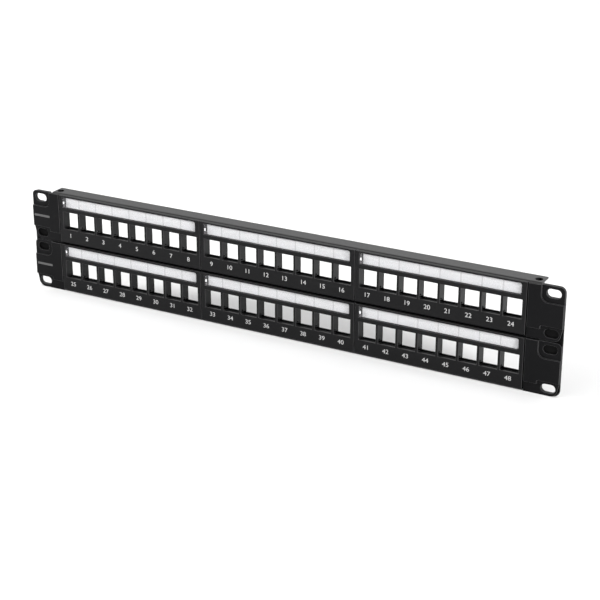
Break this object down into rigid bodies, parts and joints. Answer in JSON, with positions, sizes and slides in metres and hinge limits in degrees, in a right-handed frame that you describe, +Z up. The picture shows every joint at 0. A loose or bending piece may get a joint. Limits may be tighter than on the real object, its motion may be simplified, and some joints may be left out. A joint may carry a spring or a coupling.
{
  "type": "patch panel",
  "caption": "Two-unit rack patch panel: bent steel chassis with snap-in keystone port bezels, label strips behind clear covers and moulded ear covers.",
  "frame": {"origin": "middle of the underside of the panel's bounding box, half way through its depth", "axes": "+X to the right seen from the front, +Y towards the back of the panel, +Z up"},
  "size_m": [0.4826, 0.0176, 0.0881],
  "materials": {
    "chassis_steel": "black powder coat, satin",
    "bezel_plastic": "black moulded plastic, fine satin texture",
    "cover_plastic": "black moulded plastic, satin",
    "label_paper": "white matt label paper",
    "clear_plastic": "clear glossy plastic"
  },
  "bodies": {
    "chassis": {"chassis": "chassis_steel", "end_cover_left_upper": "cover_plastic", "end_cover_left_lower": "cover_plastic", "end_cover_right_upper": "cover_plastic", "end_cover_right_lower": "cover_plastic"},
    "bezel_1_8": {"port_bezel_1_8": "bezel_plastic", "label_strip_1_8": "label_paper"},
    "bezel_9_16": {"port_bezel_9_16": "bezel_plastic", "label_strip_9_16": "label_paper"},
    "bezel_17_24": {"port_bezel_17_24": "bezel_plastic", "label_strip_17_24": "label_paper"},
    "bezel_25_32": {"port_bezel_25_32": "bezel_plastic", "label_strip_25_32": "label_paper"},
    "bezel_33_40": {"port_bezel_33_40": "bezel_plastic", "label_strip_33_40": "label_paper"},
    "bezel_41_48": {"port_bezel_41_48": "bezel_plastic", "label_strip_41_48": "label_paper"},
    "label_cover_1_8": {"label_cover_1_8": "clear_plastic"},
    "label_cover_9_16": {"label_cover_9_16": "clear_plastic"},
    "label_cover_17_24": {"label_cover_17_24": "clear_plastic"},
    "label_cover_25_32": {"label_cover_25_32": "clear_plastic"},
    "label_cover_33_40": {"label_cover_33_40": "clear_plastic"},
    "label_cover_41_48": {"label_cover_41_48": "clear_plastic"}
  },
  "joints": [
    {"name": "bezel_slide_1_8", "type": "slide", "parent": "chassis", "child": "bezel_1_8", "axis": [0, -1, 0], "range_m": [0, 0.02]},
    {"name": "cover_hinge_1_8", "type": "hinge", "parent": "bezel_1_8", "child": "label_cover_1_8", "pos_m": [-0.07582, -0.00855, 0.06628], "axis": [0, 0, 1], "range_deg": [0, 35]},
    {"name": "bezel_slide_9_16", "type": "slide", "parent": "chassis", "child": "bezel_9_16", "axis": [0, -1, 0], "range_m": [0, 0.02]},
    {"name": "cover_hinge_9_16", "type": "hinge", "parent": "bezel_9_16", "child": "label_cover_9_16", "pos_m": [0.0659, -0.00855, 0.06628], "axis": [0, 0, 1], "range_deg": [0, 35]},
    {"name": "bezel_slide_17_24", "type": "slide", "parent": "chassis", "child": "bezel_17_24", "axis": [0, -1, 0], "range_m": [0, 0.02]},
    {"name": "cover_hinge_17_24", "type": "hinge", "parent": "bezel_17_24", "child": "label_cover_17_24", "pos_m": [0.20762, -0.00855, 0.06628], "axis": [0, 0, 1], "range_deg": [0, 35]},
    {"name": "bezel_slide_25_32", "type": "slide", "parent": "chassis", "child": "bezel_25_32", "axis": [0, -1, 0], "range_m": [0, 0.02]},
    {"name": "cover_hinge_25_32", "type": "hinge", "parent": "bezel_25_32", "child": "label_cover_25_32", "pos_m": [-0.07582, -0.00855, 0.02183], "axis": [0, 0, 1], "range_deg": [0, 35]},
    {"name": "bezel_slide_33_40", "type": "slide", "parent": "chassis", "child": "bezel_33_40", "axis": [0, -1, 0], "range_m": [0, 0.02]},
    {"name": "cover_hinge_33_40", "type": "hinge", "parent": "bezel_33_40", "child": "label_cover_33_40", "pos_m": [0.0659, -0.00855, 0.02183], "axis": [0, 0, 1], "range_deg": [0, 35]},
    {"name": "bezel_slide_41_48", "type": "slide", "parent": "chassis", "child": "bezel_41_48", "axis": [0, -1, 0], "range_m": [0, 0.02]},
    {"name": "cover_hinge_41_48", "type": "hinge", "parent": "bezel_41_48", "child": "label_cover_41_48", "pos_m": [0.20762, -0.00855, 0.02183], "axis": [0, 0, 1], "range_deg": [0, 35]}
  ]
}
